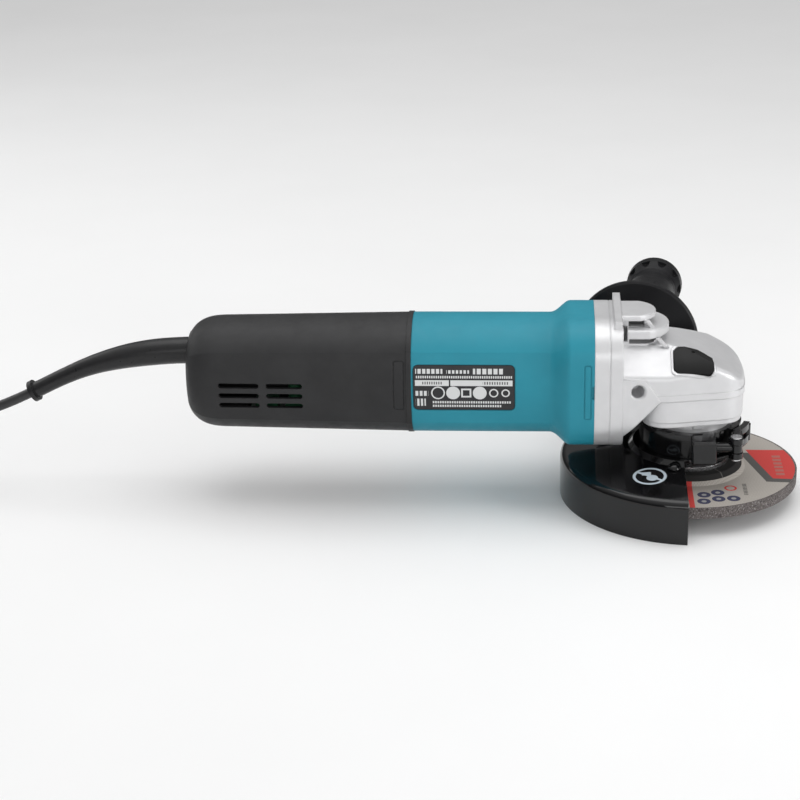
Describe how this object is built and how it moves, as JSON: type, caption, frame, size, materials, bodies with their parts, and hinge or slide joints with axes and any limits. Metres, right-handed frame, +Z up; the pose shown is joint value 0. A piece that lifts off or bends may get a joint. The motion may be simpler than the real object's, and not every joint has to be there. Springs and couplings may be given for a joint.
{
  "type": "angle grinder",
  "caption": "Corded angle grinder with teal motor housing, silver gear head, black guard, quick-clamp lever, side handle and fitted grinding disc.",
  "frame": {"origin": "where the spindle axis meets the plane of the wheel guard's lower rim", "axes": "+X along the motor axis towards the nose, +Y towards the fitted side handle, +Z up along the spindle"},
  "size_m": [0.566, 0.319, 0.105],
  "materials": {
    "silver_paint": "satin silver paint on die-cast aluminium",
    "teal_plastic": "satin glass-filled nylon, teal",
    "black_plastic": "fine-grained black nylon",
    "grip_black": "grained black grip",
    "black_rubber": "satin black rubber",
    "cord_black": "smooth black cord jacket",
    "black_enamel": "glossy black enamel on pressed steel",
    "label_foil": "dark grey printed foil with plain blocks",
    "steel": "machined steel",
    "zinc_screw": "zinc-plated screws",
    "machined_aluminium": "turned and cast aluminium",
    "abrasive": "resin-bonded grit with glass cloth and a paper label",
    "lamination": "stacked sheet steel",
    "copper": "enamelled and drawn copper",
    "brass": "drawn brass",
    "carbon": "pressed carbon",
    "fan_plastic": "moulded fan plastic",
    "board": "populated circuit board"
  },
  "bodies": {
    "housing": {"gear_housing": "silver_paint", "bearing_box": "silver_paint", "motor_housing": "teal_plastic", "label_plate": "label_foil", "rear_cover": "black_plastic", "rear_cover_screw": "zinc_screw", "gear_housing_screws": "zinc_screw", "bearing_box_screws": "zinc_screw", "spindle_bearing": "steel", "bearing_retainer": "machined_aluminium", "needle_bearing": "steel", "front_bearing": "steel", "rear_bearing": "steel", "baffle_plate": "fan_plastic", "stator_core": "lamination", "field_coils": "copper", "brush_bridge": "black_plastic", "brush_holders": "brass", "carbon_brushes": "carbon", "brush_springs": "steel", "switch_module": "black_plastic", "controller_board": "board", "noise_suppressor": "black_plastic", "side_handle": "grip_black", "handle_stud": "zinc_screw", "cord_guard": "black_rubber", "power_cord": "cord_black", "cord_coil": "cord_black", "coil_tie": "black_plastic", "cord_tail": "cord_black", "plug_body": "black_plastic", "plug_pins": "brass", "cord_clamp": "black_plastic", "cord_clamp_screws": "zinc_screw", "lock_spring": "steel"},
    "spindle": {"spindle": "steel", "spindle_gear": "steel", "spindle_key": "steel", "dust_ring": "steel", "inner_flange": "steel", "lock_nut": "steel", "grinding_disc": "abrasive"},
    "armature": {"armature_shaft": "steel", "pinion": "steel", "armature_core": "lamination", "armature_winding": "copper", "commutator": "copper", "cooling_fan": "fan_plastic"},
    "guard": {"wheel_guard": "black_enamel", "guard_screw": "black_enamel", "clamp_band": "black_enamel", "clamp_bolt": "black_enamel", "lever_pin": "steel"},
    "clamp_lever": {"clamp_lever": "black_enamel"},
    "lock": {"lock_button": "black_plastic", "lock_pin": "steel"},
    "switch": {"switch_button": "black_plastic", "switch_rod": "black_plastic"}
  },
  "joints": [
    {"name": "spindle_spin", "type": "hinge", "parent": "housing", "child": "spindle", "pos_m": [0, 0, 0.042], "axis": [0, 0, 1], "continuous": true},
    {"name": "armature_spin", "type": "hinge", "parent": "housing", "child": "armature", "pos_m": [-0.12, 0, 0.0685], "axis": [1, 0, 0], "continuous": true},
    {"name": "guard_turn", "type": "hinge", "parent": "housing", "child": "guard", "pos_m": [0, 0, 0.038], "axis": [0, 0, 1], "range_deg": [-50, 90]},
    {"name": "clamp_lever_swing", "type": "hinge", "parent": "guard", "child": "clamp_lever", "pos_m": [0.0218, -0.0312, 0.037], "axis": [0, 0, -1], "range_deg": [0, 90]},
    {"name": "lock_press", "type": "slide", "parent": "housing", "child": "lock", "axis": [0, 0.5878, -0.809], "range_m": [0, 0.0038], "stiffness_N_per_m": 1200, "springref_m": -0.002, "deforming": ["lock_spring"]},
    {"name": "switch_slide", "type": "slide", "parent": "housing", "child": "switch", "axis": [1, 0, 0], "range_m": [0, 0.005]}
  ],
  "couplings": [
    {"joint": "armature_spin", "follows": "spindle_spin", "ratio": -3.0909}
  ]
}
